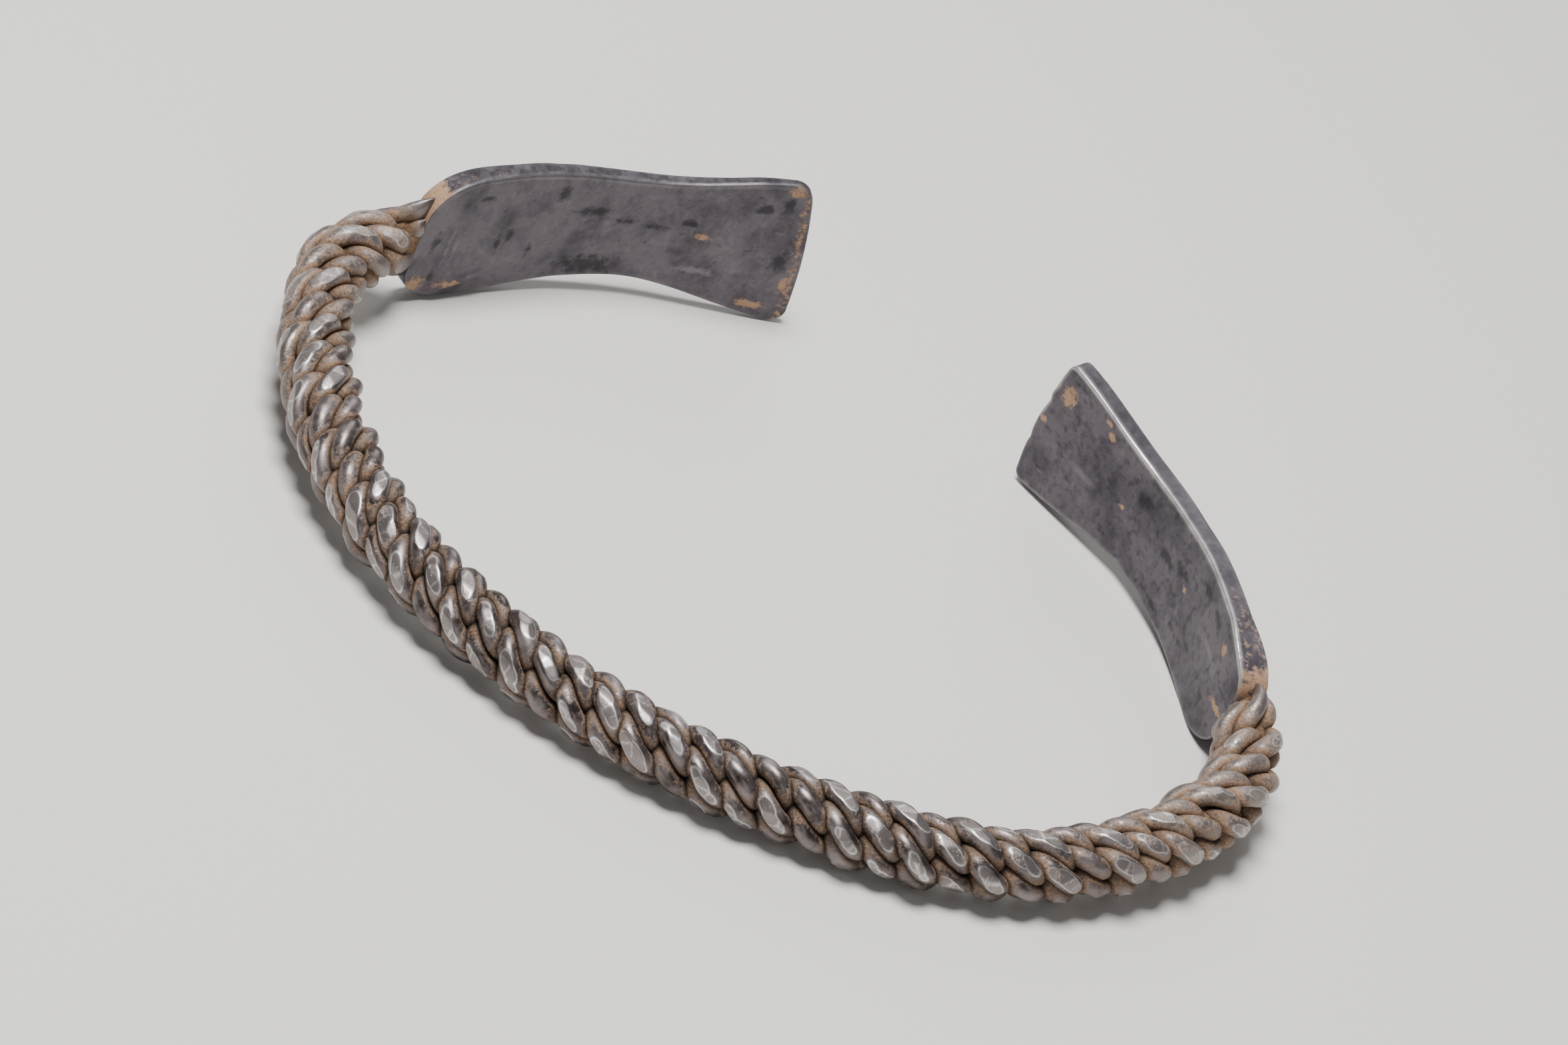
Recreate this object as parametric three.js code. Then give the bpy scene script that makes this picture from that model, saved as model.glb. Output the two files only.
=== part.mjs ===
// A penannular bracelet of ancient silver, lying flat. Two cords, each of three round wires, are
// twisted round each other and bent into a C. At both ends the six wires are forged together and
// beaten out into a flat terminal that flares to a plain square tip, so metal and bracelet are one
// piece. Soil fills the hollows between the wires. Millimetres, +Z up, the gap between the tips
// at the back (+Y), the ground at Z = 0.
import * as THREE from 'three';

// The hoop, along the middle of the body and of the two terminals
const HOOP_WIDTH = 62.6;
const HOOP_DEPTH = 46.22;
const TIP_STRAIGHT = 8;

// The twisted body. The twist is tightest at the front, at a place counted from the left tip.
const WIRE_DIAMETER = 1.18;
const WIRES_IN_CORD = 3;
const WIRE_OFFSET = 0.66;
const CORD_OFFSETS = [1.26, 1.14];
const CABLE_PITCH = 4.2;
const TIGHTEST_PLACE = 76.43;
const LOOSENING_LENGTH = 120.3;
const CORD_TURNS_PER_CABLE_TURN = 5 / 3;
const SOIL_RADIUS = 1.8;

// The two terminals: widths run from the upper to the lower edge
const LEFT_TERMINAL = {
  length: 27.2, tipWidth: 11.3, waistWidth: 8.0, rootWidth: 9.7, tipThickness: 0.7,
  rootThickness: 1.35, skew: 2.0, bow: 0.4, corner: 1.1, waistPlace: 0.4,
};
const RIGHT_TERMINAL = {
  length: 26.2, tipWidth: 9.9, waistWidth: 7.3, rootWidth: 8.2, tipThickness: 1.35,
  rootThickness: 1.45, skew: 0.15, bow: 0.45, corner: 0.6, waistPlace: 0.39,
};
const ROOT_PLACE = 0.81;
const JUNCTION_LENGTH = 4.5;

// Fineness of the surface
const POINTS_AROUND = 24;
const BODY_STEP = 0.66;
const TERMINAL_STEP = 2.2;
const WIRE_SAMPLE = 0.09;

// The hoop as it was bent by hand, from the left tip round the front to the right tip.
// across: share of half the width, back: share of the depth.
const HOOP_SHAPE = [
  [-0.288, 1.000], [-0.518, 0.933], [-0.706, 0.827], [-0.853, 0.697], [-0.920, 0.628],
  [-0.981, 0.558], [-1.000, 0.479], [-0.922, 0.325], [-0.780, 0.192], [-0.589, 0.091],
  [-0.364, 0.031], [-0.125, 0.004], [0.117, 0.008], [0.354, 0.043], [0.583, 0.098],
  [0.781, 0.191], [0.921, 0.325], [0.997, 0.480], [0.992, 0.562], [0.946, 0.637],
  [0.866, 0.697], [0.713, 0.825], [0.519, 0.924], [0.270, 0.963],
];

const clamp = THREE.MathUtils.clamp;
const lerp = THREE.MathUtils.lerp;
const smoothstep = THREE.MathUtils.smoothstep;

// The middle line of the hoop, with a straight run at each tip
function makeHoop() {
  const points = HOOP_SHAPE.map(
    ([across, back]) => new THREE.Vector3(across * HOOP_WIDTH / 2, back * HOOP_DEPTH, 0));
  const curve = new THREE.CatmullRomCurve3(points, false, 'centripetal');
  curve.arcLengthDivisions = 2000;
  const length = curve.getLength();

  function at(along) {
    const held = clamp(along, TIP_STRAIGHT, length - TIP_STRAIGHT);
    const share = held / length;
    const tangent = curve.getTangentAt(share);
    const centre = curve.getPointAt(share).addScaledVector(tangent, along - held);
    const outward = new THREE.Vector3(tangent.y, -tangent.x, 0);
    return { centre, tangent, outward };
  }
  return { length, at };
}

// The wires of the body in its own straightened space: x runs along the body, y up, z outward.
// Both cords wind to the right, and the wires in each cord wind to the left. The twist is tightest
// near the front and loosens towards the terminals.
function makeWires(start, end) {
  function wirePoint(cord, wire, along) {
    const away = (along - TIGHTEST_PLACE) / LOOSENING_LENGTH;
    const turn = 2 * Math.PI * LOOSENING_LENGTH / CABLE_PITCH * Math.atan(away);
    const rise = CABLE_PITCH * (1 + away * away) / (2 * Math.PI);
    const angle = turn + 2 * Math.PI * cord / CORD_OFFSETS.length;
    const radius = CORD_OFFSETS[cord];
    const outOfCable = new THREE.Vector3(0, Math.cos(angle), Math.sin(angle));
    const round = new THREE.Vector3(0, -Math.sin(angle), Math.cos(angle));
    const run = new THREE.Vector3(rise, 0, 0).addScaledVector(round, radius).normalize();
    const side = new THREE.Vector3().crossVectors(run, outOfCable);
    const spin = -CORD_TURNS_PER_CABLE_TURN * turn + 2 * Math.PI * wire / WIRES_IN_CORD;
    return new THREE.Vector3(along, 0, 0)
      .addScaledVector(outOfCable, radius + WIRE_OFFSET * Math.cos(spin))
      .addScaledVector(side, WIRE_OFFSET * Math.sin(spin));
  }

  const wires = [];
  for (let cord = 0; cord < CORD_OFFSETS.length; cord += 1) {
    for (let wire = 0; wire < WIRES_IN_CORD; wire += 1) {
      const points = [];
      for (let along = start - WIRE_DIAMETER; along < end + WIRE_DIAMETER; along += WIRE_SAMPLE) {
        points.push(wirePoint(cord, wire, along));
      }
      wires.push(points);
    }
  }
  return wires;
}

// How far the body reaches from its middle at a place along it, in the direction of an angle
// that is 0 at the top and grows towards the outside of the hoop
function bodyRadius(wires, along, angle) {
  const wireRadius = WIRE_DIAMETER / 2;
  const up = Math.cos(angle);
  const out = Math.sin(angle);
  let reach = SOIL_RADIUS;
  for (const points of wires) {
    for (const point of points) {
      const away = point.x - along;
      if (Math.abs(away) >= wireRadius) continue;
      const inLine = point.y * up + point.z * out;
      const offLine = point.y * out - point.z * up;
      const room = wireRadius * wireRadius - away * away - offLine * offLine;
      if (room > 0) reach = Math.max(reach, inLine + Math.sqrt(room));
    }
  }
  return reach;
}

// A terminal's width at a distance from its tip
function terminalWidth(terminal, fromTip) {
  const share = fromTip / terminal.length;
  const flare = smoothstep(share, 0, terminal.waistPlace);
  const swell = smoothstep(share, terminal.waistPlace, ROOT_PLACE);
  const width = lerp(lerp(terminal.tipWidth, terminal.waistWidth, flare), terminal.rootWidth, swell);
  const cornerShare = clamp(fromTip / terminal.corner, 0, 1);
  return width - 2 * terminal.corner * (1 - Math.sqrt(1 - (1 - cornerShare) ** 2));
}

// A terminal grows evenly thicker from its tip to the junction
function terminalThickness(terminal, fromTip) {
  const share = Math.min(fromTip / (terminal.length - JUNCTION_LENGTH), 1);
  return lerp(terminal.tipThickness, terminal.rootThickness, share);
}

// One ring of points across the bracelet
function makeSection(hoop, wires, along) {
  const left = along < hoop.length / 2;
  const terminal = left ? LEFT_TERMINAL : RIGHT_TERMINAL;
  const fromTip = left ? along : hoop.length - along;
  const intoJunction = clamp(1 + (fromTip - terminal.length) / JUNCTION_LENGTH, 0, 1);
  const twisted = 1 - Math.sqrt(1 - intoJunction ** 2);
  const width = terminalWidth(terminal, Math.min(fromTip, terminal.length));
  const edgeSine = Math.sin(2 * Math.PI / POINTS_AROUND);
  const nearTip = 1 - smoothstep(fromTip, terminal.corner, terminal.length * terminal.waistPlace);
  const place = hoop.at(along);
  const toTip = place.tangent.clone().multiplyScalar(left ? -1 : 1);
  const ring = [];
  for (let i = 0; i < POINTS_AROUND; i += 1) {
    const angle = 2 * Math.PI * i / POINTS_AROUND;
    const radius = twisted > 0 ? bodyRadius(wires, along, angle) : 0;
    const up = lerp(width / 2 * Math.cos(angle), radius * Math.cos(angle), twisted);
    // the tip's edge bulges in the middle and leans forward at the bottom
    const height = 2 * up / terminal.tipWidth;
    const lead = nearTip * (terminal.bow * (0.5 - height * height) - terminal.skew / 2 * height);
    const halfThick = terminalThickness(terminal, fromTip - lead) / 2;
    const flatOut = halfThick * clamp(Math.sin(angle) / edgeSine, -1, 1);
    const out = lerp(flatOut, radius * Math.sin(angle), twisted);
    const point = place.centre.clone()
      .addScaledVector(place.outward, out)
      .addScaledVector(toTip, lead);
    point.z += up;
    ring.push(point);
  }
  return ring;
}

// Where the rings stand along the hoop: close together on the twisted body, further apart on
// the plain terminals, with one at the end of each rounded corner
function ringPlaces(hoop) {
  const bodyStart = LEFT_TERMINAL.length - JUNCTION_LENGTH;
  const bodyEnd = hoop.length - RIGHT_TERMINAL.length + JUNCTION_LENGTH;
  const places = [0, LEFT_TERMINAL.corner / 3, LEFT_TERMINAL.corner];
  const stretch = (from, to, step) => {
    const count = Math.max(1, Math.round((to - from) / step));
    for (let i = 1; i <= count; i += 1) places.push(lerp(from, to, i / count));
  };
  stretch(LEFT_TERMINAL.corner, TIP_STRAIGHT, TERMINAL_STEP);
  stretch(TIP_STRAIGHT, bodyStart, TERMINAL_STEP);
  stretch(bodyStart, bodyEnd, BODY_STEP);
  stretch(bodyEnd, hoop.length - TIP_STRAIGHT, TERMINAL_STEP);
  stretch(hoop.length - TIP_STRAIGHT, hoop.length - RIGHT_TERMINAL.corner, TERMINAL_STEP);
  places.push(hoop.length - RIGHT_TERMINAL.corner / 3, hoop.length);
  return places;
}

function makeBraceletGeometry(hoop) {
  const wires = makeWires(
    LEFT_TERMINAL.length - JUNCTION_LENGTH, hoop.length - RIGHT_TERMINAL.length + JUNCTION_LENGTH);
  const rings = ringPlaces(hoop).map((along) => makeSection(hoop, wires, along));
  const positions = rings.flat().flatMap((point) => point.toArray());
  const index = [];
  const corner = (ring, i) => ring * POINTS_AROUND + (i % POINTS_AROUND);
  for (let ring = 0; ring + 1 < rings.length; ring += 1) {
    for (let i = 0; i < POINTS_AROUND; i += 1) {
      // each square is split along the lay of the wires
      index.push(corner(ring, i), corner(ring + 1, i + 1), corner(ring + 1, i));
      index.push(corner(ring, i), corner(ring, i + 1), corner(ring + 1, i + 1));
    }
  }
  // the curved tips are closed by strips that run straight through the plate's thickness
  const last = rings.length - 1;
  for (let i = 0; i < POINTS_AROUND / 2; i += 1) {
    const across = POINTS_AROUND - i;
    if (i > 0) {
      index.push(corner(0, i), corner(0, across), corner(0, across - 1));
      index.push(corner(last, i), corner(last, across - 1), corner(last, across));
    }
    if (i + 1 < across - 1) {
      index.push(corner(0, i), corner(0, across - 1), corner(0, i + 1));
      index.push(corner(last, i), corner(last, i + 1), corner(last, across - 1));
    }
  }
  const geometry = new THREE.BufferGeometry();
  geometry.setAttribute('position', new THREE.Float32BufferAttribute(positions, 3));
  geometry.setIndex(index);
  geometry.computeVertexNormals();
  return geometry;
}

// The upward direction of the ground that the bracelet lies on, seen from the hoop's own plane: it
// rests on the front of the body, on the left terminal's tip and on the right one's wide root
function groundNormal(hoop) {
  const bodyHalf = Math.max(...CORD_OFFSETS) + WIRE_OFFSET + WIRE_DIAMETER / 2;
  const front = new THREE.Vector3(0, 0, -bodyHalf);
  const leftTip = hoop.at(LEFT_TERMINAL.corner).centre;
  const rightRoot = hoop.at(hoop.length - RIGHT_TERMINAL.length * ROOT_PLACE).centre;
  leftTip.z = -LEFT_TERMINAL.tipWidth / 2;
  rightRoot.z = -RIGHT_TERMINAL.rootWidth / 2;
  return rightRoot.sub(front).cross(leftTip.sub(front)).normalize();
}

function makeBracelet() {
  const hoop = makeHoop();
  const silver = new THREE.MeshStandardMaterial({ color: 0x87827f, roughness: 0.45, metalness: 0.85 });
  const bracelet = new THREE.Mesh(makeBraceletGeometry(hoop), silver);
  bracelet.name = 'bracelet';
  bracelet.quaternion.setFromUnitVectors(groundNormal(hoop), new THREE.Vector3(0, 0, 1));
  bracelet.updateMatrixWorld(true);
  const box = new THREE.Box3().setFromObject(bracelet, true);
  const centre = box.getCenter(new THREE.Vector3());
  bracelet.position.set(-centre.x, -centre.y, -box.min.z);
  return bracelet;
}

const model = new THREE.Group();
model.add(makeBracelet());

export default model;
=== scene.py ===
# A penannular bracelet of ancient silver: two cords, of three round wires each, twisted round each
# other and bent into a C, with a flat beaten terminal at either end. It lies on a pale floor and is
# seen from above its front, with the gap between the tips at the back.
import math

import bpy
import numpy as np
from mathutils import Matrix, Vector, kdtree


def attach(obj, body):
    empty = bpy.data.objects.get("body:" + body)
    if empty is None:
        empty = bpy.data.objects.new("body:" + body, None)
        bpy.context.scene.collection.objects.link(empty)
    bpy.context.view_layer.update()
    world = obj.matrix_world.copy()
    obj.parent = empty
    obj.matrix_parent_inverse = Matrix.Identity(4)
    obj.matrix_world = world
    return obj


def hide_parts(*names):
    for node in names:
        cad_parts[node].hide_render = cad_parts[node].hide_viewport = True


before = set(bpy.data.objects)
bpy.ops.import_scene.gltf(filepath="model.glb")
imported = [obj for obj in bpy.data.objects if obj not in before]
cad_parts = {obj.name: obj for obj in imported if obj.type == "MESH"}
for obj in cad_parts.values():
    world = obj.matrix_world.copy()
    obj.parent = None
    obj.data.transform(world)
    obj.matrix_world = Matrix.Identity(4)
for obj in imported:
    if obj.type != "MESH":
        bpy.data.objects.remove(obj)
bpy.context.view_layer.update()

# The six wires
# Round drawn or hammered silver wire, three wires laid left-handed to a cord and two cords twisted
# right-handed, then bent into the hoop by hand. The crests have been struck flat here and there,
# and soil sits in the hollows. At both ends the wires run out straight and sink into the terminals.
MM = 0.001
# the hoop's line from the left tip to the right one, in half widths and whole depths of the hoop
HOOP_WIDTH = 62.6
HOOP_DEPTH = 46.22
HOOP_SHAPE = [
    (-0.288, 1.000), (-0.518, 0.933), (-0.706, 0.827), (-0.853, 0.697), (-0.920, 0.628),
    (-0.981, 0.558), (-1.000, 0.479), (-0.922, 0.325), (-0.780, 0.192), (-0.589, 0.091),
    (-0.364, 0.031), (-0.125, 0.004), (0.117, 0.008), (0.354, 0.043), (0.583, 0.098),
    (0.781, 0.191), (0.921, 0.325), (0.997, 0.480), (0.992, 0.562), (0.946, 0.637),
    (0.866, 0.697), (0.713, 0.825), (0.519, 0.924), (0.270, 0.963),
]
SPAN_POINTS = 180
TIP_STRAIGHT = 8
# where the front of that line lies in the frame, and the sizes that settle how the bracelet lies
HOOP_FRONT = (0.0514, -22.9137, 2.5566)
BODY_HALF = 2.51
LEFT_LENGTH = 27.2
LEFT_TIP = 11.3
LEFT_CORNER = 1.1
RIGHT_LENGTH = 26.2
RIGHT_ROOT = 8.2
ROOT_PLACE = 0.81
# the twist, tightest left of the middle and looser towards both ends
CABLE_PITCH = 4.2
TIGHTEST_PLACE = 76.43
LOOSENING_LENGTH = 120.3
CORD_TURNS = 5 / 3
CORD_OFFSETS = (1.205, 1.08)
WIRE_OFFSET = 0.66
WIRE_RADIUS = 0.59
WIRE_WIDENING = 1.03
WIRE_SIDES = 32
WIRE_STEP = 0.125


def hoop_route():
    """The hoop's middle line as closely spaced points, through the places where it was measured."""
    marks = np.array([(a * HOOP_WIDTH / 2, b * HOOP_DEPTH) for a, b in HOOP_SHAPE])
    marks = np.vstack([2 * marks[0] - marks[1], marks, 2 * marks[-1] - marks[-2]])
    share = np.linspace(0, 1, SPAN_POINTS, endpoint=False)[:, None]
    spans = []
    for a, b, c, d in zip(marks, marks[1:], marks[2:], marks[3:]):
        s, t, u = [math.sqrt(np.linalg.norm(q - p)) for p, q in ((a, b), (b, c), (c, d))]
        leave = ((b - a) / s - (c - a) / (s + t) + (c - b) / t) * t
        arrive = ((c - b) / t - (d - b) / (t + u) + (d - c) / u) * t
        bend = 3 * (c - b) - 2 * leave - arrive
        twist = 2 * (b - c) + leave + arrive
        spans.append(b + leave * share + bend * share ** 2 + twist * share ** 3)
    return np.vstack(spans + [marks[-2][None]])


route = hoop_route()
route_along = np.r_[0, np.cumsum(np.linalg.norm(np.diff(route, axis=0), axis=1))]
route_heading = np.gradient(route, route_along, axis=0)
HOOP_LENGTH = route_along[-1]


def hoop_place(along):
    """Places and headings on the hoop's line, which runs out straight at both tips."""
    held = np.clip(along, TIP_STRAIGHT, HOOP_LENGTH - TIP_STRAIGHT)
    x, y = [np.interp(held, route_along, route[:, k]) for k in (0, 1)]
    dx, dy = [np.interp(held, route_along, route_heading[:, k]) for k in (0, 1)]
    size = np.hypot(dx, dy)
    dx = dx / size
    dy = dy / size
    return x + dx * (along - held), y + dy * (along - held), dx, dy


def lying_turn():
    """The small turn that lays the hoop on its front, the left tip and the right terminal's root."""
    front = Vector((0, 0, -BODY_HALF))
    left_x, left_y, _, _ = hoop_place(LEFT_CORNER)
    right_x, right_y, _, _ = hoop_place(HOOP_LENGTH - RIGHT_LENGTH * ROOT_PLACE)
    left = Vector((left_x, left_y, -LEFT_TIP / 2))
    right = Vector((right_x, right_y, -RIGHT_ROOT / 2))
    upward = (right - front).cross(left - front)
    return upward.rotation_difference(Vector((0, 0, 1))).to_matrix()


LYING = lying_turn()


def on_hoop(along, up, out):
    """Points given along the hoop, above its plane and outwards from its line, in the frame."""
    along, up, out = np.broadcast_arrays(along, up, out)
    x, y, dx, dy = hoop_place(along)
    points = np.stack([x + dy * out, y - dx * out, up], axis=-1) @ np.array(LYING).T
    return (points + HOOP_FRONT) * MM


def smoothstep(value, low, high):
    share = np.clip((value - low) / (high - low), 0, 1)
    return share * share * (3 - 2 * share)


def wander(along, spacing, amount, seed):
    """The slow, small unevenness of handwork, the same on every run."""
    rng = np.random.default_rng(seed)
    place = (along - along.min()) / spacing
    knots = rng.normal(0, amount, int(place.max()) + 3)
    low = place.astype(int)
    ease = smoothstep(place - low, 0, 1)
    return knots[low] * (1 - ease) + knots[low + 1] * ease


def twist_along(along):
    """Where the twist has got to: it runs out into straight wires at the two junctions."""
    first = LEFT_LENGTH + 0.2
    last = HOOP_LENGTH - RIGHT_LENGTH + 0.6
    left_easing = 0.7
    right_easing = 1.1
    rise = left_easing * np.logaddexp(0, (along - first) / left_easing)
    stop = right_easing * np.logaddexp(0, (along - last) / right_easing)
    return first + rise - stop


def wire_line(cord, wire):
    """One wire's middle line in the straightened bracelet: along, up and out, in mm."""
    overlap = 5
    margin = 0.5
    fine_step = 0.02
    start = LEFT_LENGTH - overlap
    end = HOOP_LENGTH - RIGHT_LENGTH + overlap

    def line(along):
        # each wander has its spacing in mm and its size in radians or mm
        seed = 10 * cord + 100
        from_tightest = (twist_along(along) - TIGHTEST_PLACE) / LOOSENING_LENGTH
        turn = 2 * math.pi * LOOSENING_LENGTH / CABLE_PITCH * np.arctan(from_tightest)
        turning = np.gradient(turn, along)[:, None]
        angle = turn + math.pi * cord + wander(along, CABLE_PITCH, 0.055, seed)
        radius = CORD_OFFSETS[cord] + wander(along, CABLE_PITCH, 0.07, seed + 1)
        spin = -CORD_TURNS * turn + 2 * math.pi * wire / 3
        spin = spin + wander(along, 3.2, 0.12, seed + 2 + wire)
        offset = WIRE_OFFSET + wander(along, 2.6, 0.045, seed + 5 + wire)
        none = np.zeros_like(along)
        away = np.stack([none, np.cos(angle), np.sin(angle)], axis=1)
        round_it = np.stack([none, -np.sin(angle), np.cos(angle)], axis=1)
        run = np.array([1, 0, 0]) + turning * radius[:, None] * round_it
        run /= np.linalg.norm(run, axis=1, keepdims=True)
        side = np.cross(run, away)
        points = np.stack([along, none, none], axis=1)
        points = points + away * (radius + offset * np.cos(spin))[:, None]
        return points + side * (offset * np.sin(spin))[:, None], away

    fine = np.arange(start - margin, end + margin, fine_step)
    points, _ = line(fine)
    path = np.r_[0, np.cumsum(np.linalg.norm(np.diff(points, axis=0), axis=1))]
    even = np.interp(np.arange(0, path[-1], WIRE_STEP), path, fine)
    return line(even)


def struck_facets(line, ring, cord, wire):
    """Flattens the crests that were struck or worn, each to a few small flats side by side."""
    crest_reach = 1.55
    facet_reach = 1.7
    off_junction = 1.5
    flats = 4
    outer_chance = (0.88, 0.6)[cord]
    inner_chance = (0.5, 0.3)[cord]
    rng = np.random.default_rng(40 + 3 * cord + wire)
    cut = np.full(ring.shape[:2], -1.0)
    ridge = np.full(ring.shape[:2], 1.0)
    reach = np.hypot(line[:, 1], line[:, 2])
    top = (reach[1:-1] > reach[:-2]) & (reach[1:-1] >= reach[2:])
    top &= reach[1:-1] > crest_reach
    top &= line[1:-1, 0] > LEFT_LENGTH + off_junction
    top &= line[1:-1, 0] < HOOP_LENGTH - RIGHT_LENGTH - off_junction
    heading = np.gradient(line, axis=0)
    heading /= np.linalg.norm(heading, axis=1, keepdims=True)
    outwards = line * [0, 1, 1]
    outwards -= (outwards * heading).sum(axis=1, keepdims=True) * heading
    outwards /= np.linalg.norm(outwards, axis=1, keepdims=True)
    across = np.cross(heading, outwards)
    rows_each_way = int(facet_reach / WIRE_STEP)
    for crest in np.flatnonzero(top) + 1:
        # crests on the hoop's inner side were struck less often
        outer_side = outwards[crest, 2] > -0.45
        struck = rng.random() < (outer_chance if outer_side else inner_chance)
        depth = rng.uniform(0.06, 0.17) - 0.02 * cord
        shifts = np.linspace(-0.5, 0.5, flats) + rng.uniform(-0.14, 0.14, flats)
        sideways = rng.uniform(-0.28, 0.28, flats)
        tilts = rng.uniform(-0.08, 0.08, flats)
        deeper = rng.uniform(-0.02, 0.02, flats)
        if not struck:
            continue
        rows = slice(max(crest - rows_each_way, 0), crest + rows_each_way + 1)
        patch = ring[rows]
        fresh = patch.copy()
        cuts = []
        for shift, side, tilt, more in zip(shifts, sideways, tilts, deeper):
            at = crest + round(shift / WIRE_STEP)
            normal = outwards[at] + heading[at] * tilt + across[at] * side
            normal /= np.linalg.norm(normal)
            # the flats at the two ends of a crest are cut less deep than the middle ones
            level = WIRE_RADIUS - depth * (1 - 0.9 * shift * shift) - more
            cuts.append((patch - line[at]) @ normal - level)
            left_over = np.maximum((fresh - line[at]) @ normal - level, 0)
            fresh -= left_over[..., None] * normal
        cuts = np.sort(np.array(cuts), axis=0)
        ring[rows] = fresh
        better = cuts[-1] > cut[rows]
        ridge[rows] = np.where(better, cuts[-1] - cuts[-2], ridge[rows])
        cut[rows] = np.maximum(cut[rows], cuts[-1])
    return cut, ridge


def flatten_junctions(points):
    """Spreads and presses the ends of the twist to the shape of the terminals' roots."""
    along, up, out = np.moveaxis(points, -1, 0)
    from_right = HOOP_LENGTH - along
    left = 1 - smoothstep(along, LEFT_LENGTH - 0.8, LEFT_LENGTH + 3.0)
    right = 1 - smoothstep(from_right, RIGHT_LENGTH - 1.6, RIGHT_LENGTH + 2.4)
    sunk = 1 - smoothstep(np.minimum(along, from_right + 0.8), LEFT_LENGTH - 2.3, LEFT_LENGTH + 0.3)
    up = up * (1 + 0.45 * left + 0.30 * right + 0.15 * sunk)
    out = out * (1 - 0.52 * left - 0.48 * right) * (1 - 0.85 * sunk)
    return np.stack([along, up, out], axis=-1)


def tube_faces(rows, columns):
    """Faces of a grid of points that closes on itself, with a lid at both ends."""
    row, column = np.mgrid[0:rows - 1, 0:columns]
    after = (column + 1) % columns
    quads = np.stack([row * columns + column, row * columns + after,
                      (row + 1) * columns + after, (row + 1) * columns + column], axis=-1)
    first = list(range(columns))[::-1]
    last = list(range((rows - 1) * columns, rows * columns))
    return quads.reshape(-1, 4).tolist() + [first, last]


def make_piece(name, points, faces, facts, material):
    """A mesh piece in the frame that stands for the silver, with a value per point for each fact."""
    mesh = bpy.data.meshes.new(name)
    mesh.from_pydata(points.reshape(-1, 3).tolist(), [], faces)
    mesh.shade_smooth()
    for fact, values in facts.items():
        kind = "FLOAT_VECTOR" if values.shape[-1] == 3 and values.size == points.size else "FLOAT"
        attribute = mesh.attributes.new(fact, kind, "POINT")
        attribute.data.foreach_set("vector" if kind == "FLOAT_VECTOR" else "value", values.ravel())
    mesh.materials.append(material)
    piece = bpy.data.objects.new(name, mesh)
    bpy.context.scene.collection.objects.link(piece)
    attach(piece, "root")
    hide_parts("bracelet")


def colour(hex_code):
    """An sRGB hex colour as the linear values that a shader takes."""
    parts = [int(hex_code[i:i + 2], 16) / 255 for i in (1, 3, 5)]
    linear = [c / 12.92 if c <= 0.04045 else ((c + 0.055) / 1.055) ** 2.4 for c in parts]
    return (*linear, 1)


def add(tree, kind, inputs=None, **settings):
    """Adds a node with its settings; each input is a socket that feeds it or a value to type in."""
    node = tree.nodes.new("ShaderNode" + kind)
    for key, value in settings.items():
        setattr(node, key, value)
    for key, value in (inputs or {}).items():
        if isinstance(value, bpy.types.NodeSocket):
            tree.links.new(node.inputs[key], value)
        else:
            node.inputs[key].default_value = value
    return node


def read_fact(tree, name, output="Fac"):
    """A value that the mesh holds for each of its points."""
    return add(tree, "Attribute", attribute_name=name).outputs[output]


def noise(tree, place, size, detail, roughness, distortion=0.0):
    """A noise with blots of about the size given, in mm."""
    return add(tree, "TexNoise", {"Vector": place, "Scale": 1 / size, "Detail": detail,
                                  "Roughness": roughness, "Distortion": distortion}).outputs["Fac"]


def remap(tree, value, low, high, at_low=0.0, at_high=1.0):
    """Turns the range from low to high into the range from at_low to at_high, and holds its ends."""
    return add(tree, "MapRange", {"Value": value, "From Min": low, "From Max": high,
                                  "To Min": at_low, "To Max": at_high}).outputs[0]


def maths(tree, operation, first, second):
    """A sum, product or greater one of two values."""
    return add(tree, "Math", {0: first, 1: second}, operation=operation).outputs[0]


def mix(tree, share, under, over, data_type="RGBA", blend_type="MIX"):
    """Lays one colour, or one value, over another by the share given."""
    return add(tree, "Mix", {"Factor": share, "A": under, "B": over}, data_type=data_type,
               blend_type=blend_type).outputs["Result"]


def ramp(tree, value, low, low_colour, high, high_colour):
    """A colour that goes from one hex colour at low to another at high."""
    node = add(tree, "ValToRGB", {"Fac": value})
    first, last = node.color_ramp.elements
    first.position = low
    first.color = colour(low_colour)
    last.position = high
    last.color = colour(high_colour)
    return node.outputs["Color"]


def new_finish(name):
    """An empty material with its surface shader."""
    finish = bpy.data.materials.new(name)
    finish.use_nodes = True
    tree = finish.node_tree
    shader = tree.nodes["Principled BSDF"]
    return finish, tree, shader


# Buried silver wire, hammered and twisted, cleaned but not polished: brownish grey where it is
# tarnished, pale along the rubbed rims of the flats, with dry soil clinging in the hollows.
# The hollows and the lines where two wires touch also carry painted shade.
SILVER_DULL = "#8b8280"
SILVER_DARK = "#453d3b"
SILVER_STRUCK = "#9b9391"
SILVER_DUSTED = "#b1a59c"
SILVER_RUBBED = "#d3d0cf"
SOIL_PALE = "#b38f6f"
SOIL_DEEP = "#6b4f3d"
SOIL_GRAIN = 0.16
SOIL_CLOD = 0.7
TARNISH_PATCH = 1.6


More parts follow.
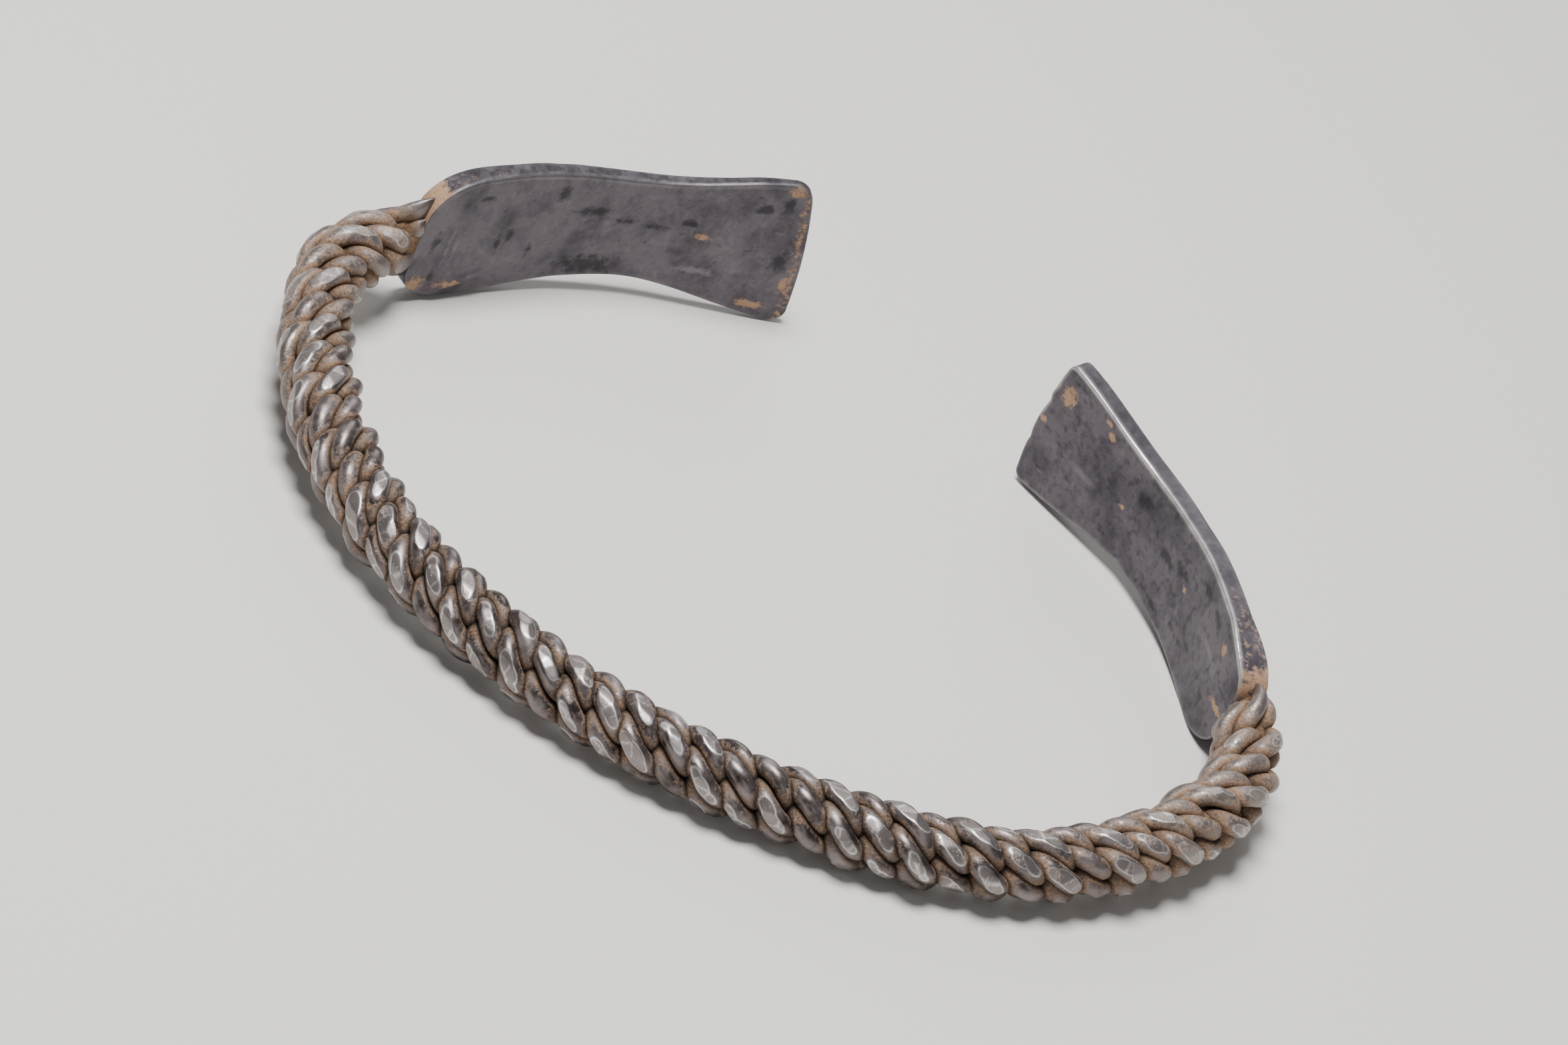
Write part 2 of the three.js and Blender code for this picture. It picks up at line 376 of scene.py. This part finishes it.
def wire_silver():
    finish, tree, shader = new_finish("twisted_silver_wire")
    place = read_fact(tree, "place", "Vector")
    gap = read_fact(tree, "gap")
    sunk = read_fact(tree, "sunk")
    dusty = read_fact(tree, "dusty")
    cut = read_fact(tree, "cut")
    ridge = read_fact(tree, "ridge")
    patches = noise(tree, place, TARNISH_PATCH, 6, 0.62)
    grains = noise(tree, place, SOIL_GRAIN, 3, 0.7)
    clods = noise(tree, place, SOIL_CLOD, 5, 0.65)

    # bare metal: mottled tarnish, cleaner on the struck flats
    tarnish = ramp(tree, patches, 0.34, SILVER_DARK, 0.66, SILVER_DULL)
    on_flat = remap(tree, cut, 0.0, 0.03)
    cleaner = maths(tree, "MULTIPLY", on_flat, 0.5)
    metal = mix(tree, cleaner, tarnish, colour(SILVER_STRUCK))

    # rubbed pale, with breaks, along the rims of the flats and the creases between them
    inside = remap(tree, cut, -0.035, 0.0)
    outside = remap(tree, cut, 0.0, 0.03, 1, 0)
    rim = maths(tree, "MULTIPLY", inside, outside)
    crease = remap(tree, ridge, 0.0, 0.022, 1, 0)
    crease = maths(tree, "MULTIPLY", crease, on_flat)
    rubbed = maths(tree, "MAXIMUM", rim, crease)
    breaks = remap(tree, patches, 0.35, 0.55, 0.25, 0.95)
    rubbed = maths(tree, "MULTIPLY", rubbed, breaks)
    metal = mix(tree, rubbed, metal, colour(SILVER_RUBBED))

    # a thin film of dust towards the ends, which leaves the cleanest patches nearly bald
    film = remap(tree, dusty, 0.08, 0.4, 0, 0.4)
    bald = remap(tree, patches, 0.42, 0.6, 1, 0.1)
    film = maths(tree, "MULTIPLY", film, bald)
    metal = mix(tree, film, metal, colour(SILVER_DUSTED))

    # soil: in the gaps between the wires and on all that lies deep, more of it towards the ends
    held = remap(tree, gap, 0.0, 0.45, 0.75, 0)
    deep = remap(tree, sunk, 0.1, 1.0)
    broad = remap(tree, clods, 0.25, 0.75, -0.55, 0.55)
    fine = remap(tree, grains, 0.25, 0.75, -0.35, 0.35)
    for more in (deep, dusty, broad, fine):
        held = maths(tree, "ADD", held, more)
    soiled = remap(tree, held, 0.5, 1.35, 0, 0.9)
    soil = ramp(tree, grains, 0.33, SOIL_DEEP, 0.6, SOIL_PALE)
    skin = mix(tree, soiled, metal, soil)

    # painted shade: what lies deep is darkened, and the lines where two wires touch are painted
    # almost black, less where soil fills them
    painted_depth_shade = remap(tree, sunk, 0.35, 1.2, 1, 0.22)
    skin = mix(tree, 1.0, skin, painted_depth_shade, blend_type="MULTIPLY")
    # painted contact shade: nearly black where two wires touch, lifted where soil fills the gap
    painted_contact_shade = remap(tree, gap, 0.02, 0.28, 0.1, 1)
    filled = maths(tree, "MULTIPLY", dusty, 1.6)
    painted_contact_shade = mix(tree, filled, painted_contact_shade, 1.0, data_type="FLOAT")
    skin = mix(tree, 1.0, skin, painted_contact_shade, blend_type="MULTIPLY")
    tree.links.new(shader.inputs["Base Color"], skin)

    bare = remap(tree, soiled, 0.0, 0.9, 0.86, 0)
    clear = maths(tree, "MULTIPLY", film, -0.9)
    clear = maths(tree, "ADD", clear, 1.0)
    bare = maths(tree, "MULTIPLY", bare, clear)
    tree.links.new(shader.inputs["Metallic"], bare)
    worn = remap(tree, patches, 0.35, 0.65, 0.27, 0.5)
    worn = mix(tree, on_flat, worn, 0.37, data_type="FLOAT")
    dull = mix(tree, soiled, worn, 0.95, data_type="FLOAT")
    tree.links.new(shader.inputs["Roughness"], dull)
    height = maths(tree, "MULTIPLY", grains, soiled)
    scars = maths(tree, "MULTIPLY", patches, 0.35)
    height = maths(tree, "ADD", height, scars)
    bump = add(tree, "Bump", {"Strength": 0.5, "Distance": 0.12 * MM, "Height": height})
    tree.links.new(shader.inputs["Normal"], bump.outputs["Normal"])
    return finish


def soil_dust(along):
    """How much more soil there is towards the two ends than at the front."""
    left_most = 26
    left_least = 64
    right_least = HOOP_LENGTH - 60
    right_most = HOOP_LENGTH - 34
    left = 0.42 * (1 - smoothstep(along, left_most, left_least))
    right = 0.4 * smoothstep(along, right_least, right_most)
    return left + right


lines = {}
for cord in range(2):
    for wire in range(3):
        lines[cord, wire] = wire_line(cord, wire)

# a search tree for each wire's line, to find how far a skin is from the nearest other wire
trees = {}
for key, (line, _) in lines.items():
    tree = kdtree.KDTree(len(line))
    for i, point in enumerate(line):
        tree.insert(point, i)
    tree.balance()
    trees[key] = tree

silver_wire = wire_silver()
for (cord, wire), (line, away) in lines.items():
    number = 3 * cord + wire
    heading = np.gradient(line, axis=0)
    heading /= np.linalg.norm(heading, axis=1, keepdims=True)
    first = away - (away * heading).sum(axis=1, keepdims=True) * heading
    first /= np.linalg.norm(first, axis=1, keepdims=True)
    second = np.cross(heading, first)
    path = np.arange(len(line)) * WIRE_STEP
    thick = WIRE_RADIUS + wander(path, 5, 0.018, 70 + number)
    turn = np.linspace(0, 2 * math.pi, WIRE_SIDES, endpoint=False)
    ring = (line[:, None] + thick[:, None, None]
            * (np.cos(turn)[None, :, None] * first[:, None]
               + np.sin(turn)[None, :, None] * second[:, None] * WIRE_WIDENING))
    cut, ridge = struck_facets(line, ring, cord, wire)
    others = [tree for key, tree in trees.items() if key != (cord, wire)]
    gap = np.array([min(tree.find(point)[2] for tree in others)
                    for point in ring.reshape(-1, 3)]).reshape(ring.shape[:2]) - WIRE_RADIUS
    # free of the terminals: the forged ends lie open on them, without gaps that would hold soil or
    # take the painted shade
    free = smoothstep(ring[..., 0], LEFT_LENGTH - 0.4, LEFT_LENGTH + 1.2)
    free = free * smoothstep(HOOP_LENGTH - ring[..., 0], RIGHT_LENGTH - 0.6, RIGHT_LENGTH + 1.0)
    # the shift gives each wire a stretch of the patterns of its own
    facts = {
        "place": ring + np.array([0, 10 * number, 0]),
        "gap": gap + 0.5 * (1 - free),
        "sunk": (BODY_HALF - np.hypot(ring[..., 1], ring[..., 2])) * free,
        "dusty": soil_dust(ring[..., 0]) * (0.35 + 0.65 * free),
        "cut": cut,
        "ridge": ridge,
    }
    shaped = flatten_junctions(ring)
    points = on_hoop(shaped[..., 0], shaped[..., 1], shaped[..., 2])
    make_piece(f"wire_{number + 1}", points, tube_faces(*ring.shape[:2]), facts, silver_wire)

# The soil between the wires
# Dry sandy soil that packed into the rope while it was buried. It fills the core and stands up to
# the wires' flanks, higher towards both ends than at the front.
SOIL_STEP = 0.2
SOIL_SIDES = 72
SOIL_CORE = 0.95
SOIL_RISE = 1.0
SOIL_LUMPS = 0.2
SOIL_OVERLAP = 0.6
DAMP_PATCH = 2.5


# Dry soil, sandy brown in its grains and dark between them, darkened all over as painted shade for
# the deep gaps it lies in, and darker still in broad damp patches.
def packed_soil():
    finish, tree, shader = new_finish("packed_soil")
    place = read_fact(tree, "place", "Vector")
    grains = noise(tree, place, SOIL_GRAIN, 4, 0.7)
    damp = noise(tree, place, DAMP_PATCH, 4, 0.6)
    soil = ramp(tree, grains, 0.33, SOIL_DEEP, 0.62, SOIL_PALE)
    # painted shade for the deep gaps, darker still in broad damp patches
    damp_and_painted_shade = remap(tree, damp, 0.35, 0.65, 0.25, 0.6)
    tone = mix(tree, 1.0, soil, damp_and_painted_shade, blend_type="MULTIPLY")
    tree.links.new(shader.inputs["Base Color"], tone)
    shader.inputs["Roughness"].default_value = 0.95
    shader.inputs["Specular IOR Level"].default_value = 0.2
    bump = add(tree, "Bump", {"Strength": 0.8, "Distance": 0.1 * MM, "Height": grains})
    tree.links.new(shader.inputs["Normal"], bump.outputs["Normal"])
    return finish


soil_along = np.arange(LEFT_LENGTH - SOIL_OVERLAP, HOOP_LENGTH - RIGHT_LENGTH + SOIL_OVERLAP,
                       SOIL_STEP)
turn = np.linspace(0, 2 * math.pi, SOIL_SIDES, endpoint=False)
rng = np.random.default_rng(7)
lumps = rng.normal(0, 1, (len(soil_along), SOIL_SIDES))
for _ in range(3):
    lumps = (lumps + np.roll(lumps, 1, 0) + np.roll(lumps, -1, 0)
             + np.roll(lumps, 1, 1) + np.roll(lumps, -1, 1)) / 5
fill = SOIL_CORE + SOIL_RISE * soil_dust(soil_along)[:, None] + SOIL_LUMPS * lumps
soil_ring = np.stack([np.broadcast_to(soil_along[:, None], fill.shape),
                      fill * np.cos(turn), fill * np.sin(turn)], axis=-1)
shaped = flatten_junctions(soil_ring)
make_piece("soil", on_hoop(shaped[..., 0], shaped[..., 1], shaped[..., 2]),
           tube_faces(*fill.shape), {"place": soil_ring}, packed_soil())

# The terminals
# The wires' ends forged into one flat bar each and beaten out, so that each terminal narrows to a
# waist and flares to a square tip. The faces are flat with soft hammer marks, the arrises are rubbed.
LEFT_TERMINAL = {
    "length": LEFT_LENGTH, "tip": LEFT_TIP - 0.04, "waist": 8.0, "root": 9.7, "waist_place": 0.40,
    "tip_thick": 0.7, "root_thick": 1.35, "swell": 0.05, "skew": 2.0, "bow": 0.4,
    "corner": LEFT_CORNER, "shoulder": 2.5, "arris": 0.2, "nicks": [],
}
RIGHT_TERMINAL = {
    "length": RIGHT_LENGTH, "tip": 9.9, "waist": 7.3, "root": RIGHT_ROOT, "waist_place": 0.39,
    "tip_thick": 1.35, "root_thick": 1.45, "swell": 0.3, "skew": 0.15, "bow": 0.45,
    "corner": 0.6, "shoulder": 2.0, "arris": 0.13,
    "nicks": [(0.58, 0.08), (0.3, 0.14), (0.18, 0.09), (-0.35, 0.1)],
}
JUNCTION = 4.5
JUNCTION_WIDTH = 3.0
NICK_HALF = 0.07
PLATE_STEP = 0.16
FACE_POINTS = 44
EDGE_POINTS = 8
ARRIS_POINTS = 4
HAMMER_BLOWS = 70
HAMMERED_LENGTH = 26
HAMMERED_HALF = 5.5
# the fold: its middle from the tip and below the terminal's middle, its slope, half width and height
FOLD_PLACE = 22.6
FOLD_DROP = 3.6
FOLD_SLOPE = 0.34
FOLD_HALF = 0.32
FOLD_HEIGHT = 0.22


def plate_outline(face_points, edge_points, arris_points):
    """A rounded rectangle as anchors on its inner core and the directions of its skin there."""
    quarter = math.pi / 2
    swing = np.linspace(0, 1, arris_points + 2)[1:-1] * quarter
    face = np.linspace(1, -1, face_points)
    edge = np.linspace(-1, 1, edge_points)
    runs = []
    for side, (up, out) in enumerate([(1, 1), (-1, 1), (-1, -1), (1, -1)]):
        edge_run = edge if side % 2 == 0 else face
        sign = 1 if side < 2 else -1
        still = np.ones(len(edge_run))
        if side % 2 == 0:
            runs.append(np.stack([sign * still, sign * edge_run, side * quarter * still]))
        else:
            runs.append(np.stack([sign * edge_run, sign * still, side * quarter * still]))
        corner = np.ones(arris_points)
        runs.append(np.stack([up * corner, out * corner, side * quarter + swing]))
    return np.concatenate(runs, axis=1)


def plate_width(terminal, from_tip):
    """The width from tip to root: flared, waisted, and rounded off where the wires come in."""
    share = from_tip / terminal["length"]
    flare = smoothstep(share, 0, terminal["waist_place"])
    swell = smoothstep(share, terminal["waist_place"], ROOT_PLACE)
    width = terminal["tip"] + (terminal["waist"] - terminal["tip"]) * flare
    width = width + (terminal["root"] - width) * swell
    corner = np.clip(from_tip / terminal["corner"], 0, 1)
    width = width - 2 * terminal["corner"] * (1 - np.sqrt(1 - (1 - corner) ** 2))
    into_root = np.clip(1 + (from_tip - terminal["length"]) / JUNCTION, 0, 1)
    round_off = (1 - into_root ** terminal["shoulder"]) ** (1 / terminal["shoulder"])
    return JUNCTION_WIDTH + (width - JUNCTION_WIDTH) * round_off


def hammer_marks(from_tip, up, face, seed):
    """Shallow overlapping dents of a hammer's face, a few millimetres apart."""
    rng = np.random.default_rng(seed)
    hollow = np.zeros(np.broadcast(from_tip, up, face).shape)
    for _ in range(HAMMER_BLOWS):
        x = rng.uniform(0, HAMMERED_LENGTH)
        y = rng.uniform(-HAMMERED_HALF, HAMMERED_HALF)
        wide = rng.uniform(0.7, 1.6)
        deep = rng.uniform(0.01, 0.035)
        side = rng.choice([-1, 1])
        away = ((from_tip - x) ** 2 + (up - y) ** 2) / (wide * wide)
        hollow = hollow + deep * np.exp(-away) * (face * side > 0)
    return hollow


# Beaten silver plate: dark grey with a faint purple cast, mottled with darker stains and thin
# lighter streaks, its arrises rubbed pale, with specks of soil left on it.
# The stain colour also lies over the left top edge, as a painted shade.
PLATE_GREY = "#625c62"
PLATE_DARK = "#3a363b"
PLATE_PALE = "#858086"
PLATE_STAIN_AND_SHADE = "#29262b"
PLATE_CLOD = 0.4
PLATE_MOTTLE = 0.55
STREAK_WIDTH = 0.9
TARNISH_CLOUD = 3.2


def beaten_silver():
    finish, tree, shader = new_finish("beaten_silver_plate")
    place = read_fact(tree, "place", "Vector")
    worn_arris = read_fact(tree, "worn_arris")
    stain_and_shade = read_fact(tree, "stain_and_shade")
    dirt = read_fact(tree, "dirt")
    pale = read_fact(tree, "pale")
    clods = noise(tree, place, PLATE_CLOD, 5, 0.65)
    grains = noise(tree, place, SOIL_GRAIN, 3, 0.7)
    mottle = noise(tree, place, PLATE_MOTTLE, 4, 0.6)
    stretched = add(tree, "Mapping", {"Vector": place, "Scale": (1, 0.75, 1)}).outputs[0]
    clouds = noise(tree, stretched, TARNISH_CLOUD, 8, 0.68)
    streaks = noise(tree, stretched, STREAK_WIDTH, 5, 0.6, 0.6)

    def marked(mark, texture, weight, low, high, most):
        """A mark with its rim broken up by a texture: 0 off it, the most at its middle."""
        ragged = remap(tree, texture, 0.25, 0.75, -weight, weight)
        summed = maths(tree, "ADD", mark, ragged)
        return remap(tree, summed, low, high, 0, most)

    ground = ramp(tree, clouds, 0.3, PLATE_DARK, 0.56, PLATE_GREY)
    speckle = remap(tree, mottle, 0.3, 0.7, 0.84, 1.14)
    tone = mix(tree, 1.0, ground, speckle, blend_type="MULTIPLY")
    streak = remap(tree, streaks, 0.56, 0.74, 0, 0.28)
    scratch = marked(pale, mottle, 0.5, 0.1, 0.8, 0.55)
    lighter = maths(tree, "MAXIMUM", streak, scratch)
    tone = mix(tree, lighter, tone, colour(PLATE_PALE))
    # the stains, and the painted shade on the left top edge, in the stain colour
    stain_and_shade_mask = marked(stain_and_shade, mottle, 0.65, 0.0, 0.65, 0.85)
    tone = mix(tree, stain_and_shade_mask, tone, colour(PLATE_STAIN_AND_SHADE))
    uneven = remap(tree, clouds, 0.3, 0.55, 0.3)
    rub = maths(tree, "MULTIPLY", worn_arris, uneven)
    tone = mix(tree, rub, tone, colour(SILVER_RUBBED))
    dirty = marked(dirt, clods, 0.55, 0.05, 0.45, 0.85)
    soil = ramp(tree, grains, 0.2, SOIL_DEEP, 0.5, SOIL_PALE)
    skin = mix(tree, dirty, tone, soil)
    tree.links.new(shader.inputs["Base Color"], skin)

    bare = remap(tree, dirty, 0.0, 0.85, 0.75, 0)
    tree.links.new(shader.inputs["Metallic"], bare)
    worn = remap(tree, clouds, 0.3, 0.7, 0.6, 0.46)
    worn = mix(tree, rub, worn, 0.3, data_type="FLOAT")
    dull = mix(tree, dirty, worn, 0.95, data_type="FLOAT")
    tree.links.new(shader.inputs["Roughness"], dull)
    height = maths(tree, "ADD", streaks, dirty)
    pits = maths(tree, "MULTIPLY", stain_and_shade_mask, -0.5)
    height = maths(tree, "ADD", height, pits)
    bump = add(tree, "Bump", {"Strength": 0.3, "Distance": 0.08 * MM, "Height": height})
    tree.links.new(shader.inputs["Normal"], bump.outputs["Normal"])
    return finish


# Stains, soil and pale scratches on the inner faces: from the tip, up, half length, half width
LEFT_STAINS = [
    (13.5, -3.2, 2.5, 1.1), (14.5, 1.4, 1.6, 0.5), (12.0, 0.7, 1.0, 0.35), (9.9, 0.4, 1.0, 0.3),
    (7.9, 1.1, 0.8, 0.35), (17.2, 2.9, 0.6, 0.8), (20.8, -0.9, 0.3, 0.9), (20.1, -0.2, 0.35, 0.8),
    (18.2, -1.8, 0.3, 0.7), (23.0, 3.3, 0.6, 0.3), (3.5, 3.3, 0.7, 0.6), (2.2, 3.7, 0.5, 0.9),
    (1.2, -0.7, 0.9, 1.1), (25.7, -0.1, 0.45, 1.0), (25.0, -3.0, 0.4, 0.5),
]
LEFT_SOIL = [
    (2.1, 5.0, 0.5, 0.6), (0.3, -2.5, 0.4, 0.8), (2.0, -4.5, 1.3, 0.4), (6.7, 0.2, 0.7, 0.3),
    (23.4, -3.8, 1.4, 0.28), (26.2, -3.4, 0.9, 0.7),
]
LEFT_SCRATCHES = [(24.6, -0.6, 0.16, 2.6), (24.0, -1.2, 0.14, 1.9), (6.0, -2.6, 2.2, 0.4)]
RIGHT_STAINS = [
    (13.2, 0.4, 1.5, 0.5), (15.2, 1.0, 1.3, 0.5), (18.5, 2.6, 1.1, 0.5), (14.1, -2.9, 1.0, 0.35),
    (16.6, -2.2, 0.6, 0.3), (19.0, -1.6, 0.7, 0.3), (21.6, -1.4, 0.7, 0.3), (23.0, -1.6, 0.7, 0.3),
    (20.8, 2.6, 1.0, 0.5), (9.5, 1.6, 1.2, 0.8),
]
RIGHT_SOIL = [
    (1.2, 2.8, 0.75, 0.8), (4.6, 3.7, 0.35, 0.3), (5.2, 3.1, 0.4, 0.35), (8.1, -0.2, 0.3, 0.2),
    (16.1, 0.4, 0.3, 0.2), (23.0, 2.3, 0.45, 0.5), (0.2, 0.1, 0.4, 0.3), (25.0, -0.6, 1.1, 0.35),
]
RIGHT_SCRATCHES = [(1.8, -3.2, 0.9, 0.14), (4.6, -0.8, 1.7, 0.4), (21.5, 0.6, 2.6, 0.3)]


def marks_at(marks, from_tip, up):
    """How deep a place lies inside the nearest mark: 1 at its middle, 0 at its rim."""
    best = np.full(np.broadcast(from_tip, up).shape, -1.0)
    for x, y, long, wide in marks:
        far = np.sqrt(((from_tip - x) / long) ** 2 + ((up - y) / wide) ** 2)
        best = np.maximum(best, 1 - far)
    return best


silver_plate = beaten_silver()
anchor_up, anchor_out, skin = plate_outline(FACE_POINTS, EDGE_POINTS, ARRIS_POINTS)
for name, terminal, stains, soil_marks, scratches, seed in [
        ("left_terminal", LEFT_TERMINAL, LEFT_STAINS, LEFT_SOIL, LEFT_SCRATCHES, 21),
        ("right_terminal", RIGHT_TERMINAL, RIGHT_STAINS, RIGHT_SOIL, RIGHT_SCRATCHES, 22)]:
    left = name.startswith("left")
    length = terminal["length"]
    arris = terminal["arris"]
    tip_rings = np.array([0, 0.05, 0.15, 0.3, 0.45, 0.6, 0.8, 1.0])
    plate_rings = np.arange(tip_rings[-1] + PLATE_STEP, length, PLATE_STEP)
    from_tip = np.r_[tip_rings, plate_rings, length][:, None]
    half_up = plate_width(terminal, from_tip) / 2
    soft = np.clip(from_tip / arris, 0, 1)
    inset = arris * (1 - np.sqrt(1 - (1 - soft) ** 2))
    up = (half_up - arris) * anchor_up + (arris - inset) * np.cos(skin)
    fade = 1 - smoothstep(from_tip, terminal["corner"], length * terminal["waist_place"])
    height = 2 * up / terminal["tip"]
    shift = fade * (terminal["bow"] * (0.5 - height ** 2) - terminal["skew"] / 2 * height)
    for nick_height, nick_depth in terminal["nicks"]:
        shift = shift - fade ** 8 * nick_depth * np.exp(-((height - nick_height) / NICK_HALF) ** 2)
    true_place = from_tip - shift
    thickening = np.minimum(true_place / (length - JUNCTION), 1)
    half_out = (terminal["tip_thick"]
                + (terminal["root_thick"] - terminal["tip_thick"]) * thickening) / 2
    half_out = half_out + terminal["swell"] * smoothstep(from_tip, length - 5, length - 1)
    out = (half_out - arris) * anchor_out + (arris - inset) * np.sin(skin)
    hollow = hammer_marks(from_tip, up, np.sin(skin), seed)
    if left:
        # a thin fold of metal lies over the inner face near the lower edge of the root
        fold = np.abs((up + FOLD_DROP) - FOLD_SLOPE * (FOLD_PLACE - from_tip)) / FOLD_HALF
        ends = smoothstep(from_tip, 20.4, 21.6) * (1 - smoothstep(from_tip, 24.2, 25.2))
        hollow = hollow - FOLD_HEIGHT * np.exp(-fold ** 2) * ends * (np.sin(skin) < -0.5)
    up = up - hollow * np.cos(skin)
    out = out - hollow * np.sin(skin)
    edge_along = np.clip(1 - np.abs(anchor_up), 0, 1) * half_up
    edge_across = np.clip(1 - np.abs(anchor_out), 0, 1) * half_out
    off_arris = np.minimum(np.maximum(edge_along, edge_across), from_tip)
    along = true_place if left else HOOP_LENGTH - true_place
    place = np.stack(np.broadcast_arrays(true_place, up, out), axis=-1)
    inner = np.sin(skin) < -0.5
    top_edge = np.cos(skin) > 0.7
    # the arris between the top edge and the inner face is rubbed most, above all on the right
    seen_arris = (anchor_up > 0) & (anchor_out < 0)
    rubbing = np.where(seen_arris, 0.1 if left else 0.75, 0.05 if left else 0.15)
    # stains: some all over the right inner face, else mostly in marks; the left top edge gets a
    # painted shade in the stain colour
    stained = np.maximum(marks_at(stains, true_place, up), -0.22 if left else 0.06)
    left_edge_painted_shade = np.where(top_edge & left, 0.34, -0.6)
    # soil: in marks, along the left tip, dusted on the top edge and packed where it meets the wires
    tip_band = 0.3 - 1.1 * np.abs(from_tip - 0.5) if left else np.full_like(from_tip, -1)
    on_face = np.maximum(marks_at(soil_marks, true_place, up), tip_band)
    edge_dust = top_edge * (0.2 if left else 0.36) * smoothstep(from_tip, 14, 24) - 0.35
    packed = top_edge * 1.4 * smoothstep(from_tip, length - 2.0, length - 0.6)
    packed = packed - (0.6 if left else 0.95)
    facts = {
        "place": place + np.array([0, 0 if left else 40, 0]),
        "worn_arris": rubbing * np.clip(1.1 - off_arris / 0.2, 0, 1),
        "stain_and_shade": np.where(inner, stained, left_edge_painted_shade),
        "pale": np.where(inner, marks_at(scratches, true_place, up), -1.0),
        "dirt": np.maximum(np.where(inner, on_face, -1.0), np.maximum(packed, edge_dust)),
    }
    faces = tube_faces(*up.shape)
    if not left:
        faces = [face[::-1] for face in faces]
    make_piece(name, on_hoop(along, up, out), faces, facts, silver_plate)

# The floor
# A plain pale board, matt and far larger than the picture. It is the stage that the bracelet lies
# on, and not a part of it.
BOARD_PALE = "#dedcd8"
BOARD_CLOUDED = "#d9d7d3"
BOARD_CLOUDS_ACROSS = 12.0
BOARD_REACH = 3.0

finish, tree, shader = new_finish("pale_board")
cloud = add(tree, "TexNoise", {"Scale": BOARD_CLOUDS_ACROSS, "Detail": 3}).outputs["Fac"]
board = ramp(tree, cloud, 0.0, BOARD_CLOUDED, 1.0, BOARD_PALE)
tree.links.new(shader.inputs["Base Color"], board)
shader.inputs["Roughness"].default_value = 0.8
corners = [(x * BOARD_REACH, y * BOARD_REACH, 0) for x, y in ((-1, -1), (1, -1), (1, 1), (-1, 1))]
floor_mesh = bpy.data.meshes.new("floor")
floor_mesh.from_pydata(corners, [], [(0, 1, 2, 3)])
floor_mesh.materials.append(finish)
floor = bpy.data.objects.new("floor", floor_mesh)
bpy.context.scene.collection.objects.link(floor)

# The camera
# It looks down on the hoop at 39 degrees through a long lens, from half a metre away, and is rolled
# so that the hoop leans as in the picture. AIM is the middle of the picture on the hoop's plane.
LOOK_DOWN = math.radians(39)
ROLL = math.radians(26.5)
SWING = math.radians(-6.76)
DISTANCE = 500
PICTURE_WIDTH = 2353
FOCAL_PIXELS = 12500
SENSOR_WIDTH = 36
AIM = (-0.13, 23.67)

normal = Vector((math.sin(ROLL) * math.cos(LOOK_DOWN), math.cos(ROLL) * math.cos(LOOK_DOWN),
                 math.sin(LOOK_DOWN)))
level = Vector((math.cos(ROLL), -math.sin(ROLL), 0))
steep = normal.cross(level)
across = math.cos(SWING) * level + math.sin(SWING) * steep
back = -math.sin(SWING) * level + math.cos(SWING) * steep
turned = LYING @ Matrix((across, back, normal))
target = LYING @ Vector((*AIM, 0)) + Vector(HOOP_FRONT)
toward = turned.col[2]
camera_data = bpy.data.cameras.new("camera")
camera_data.sensor_width = SENSOR_WIDTH
camera_data.lens = camera_data.sensor_width * FOCAL_PIXELS / PICTURE_WIDTH
camera_data.clip_start = 0.01
camera = bpy.data.objects.new("camera", camera_data)
bpy.context.scene.collection.objects.link(camera)
camera.matrix_world = Matrix.Translation((target + toward * DISTANCE) * MM) @ turned.to_4x4()
bpy.context.scene.camera = camera

# The light
# Soft studio light: a large box overhead, a lower one behind and a weak one by the camera, in a pale
# grey room. Each has its place and its size in metres and its power in watts.
ROOM_GREY = "#c9c9cc"
ROOM_STRENGTH = 0.28

for name, place, size, power in [
        ("overhead", (-0.07, -0.05, 0.39), 0.17, 2.9),
        ("behind", (-0.10, 0.38, 0.26), 0.24, 0.55),
        ("front", (0.20, -0.42, 0.20), 0.25, 0.25)]:
    lamp = bpy.data.lights.new(name, "AREA")
    lamp.shape = "DISK"
    lamp.size = size
    lamp.energy = power
    light = bpy.data.objects.new(name, lamp)
    bpy.context.scene.collection.objects.link(light)
    light.location = place
    light.rotation_euler = (-Vector(place)).to_track_quat("-Z", "Y").to_euler()
world = bpy.data.worlds.new("studio")
world.use_nodes = True
world.node_tree.nodes["Background"].inputs["Color"].default_value = colour(ROOM_GREY)
world.node_tree.nodes["Background"].inputs["Strength"].default_value = ROOM_STRENGTH
bpy.context.scene.world = world
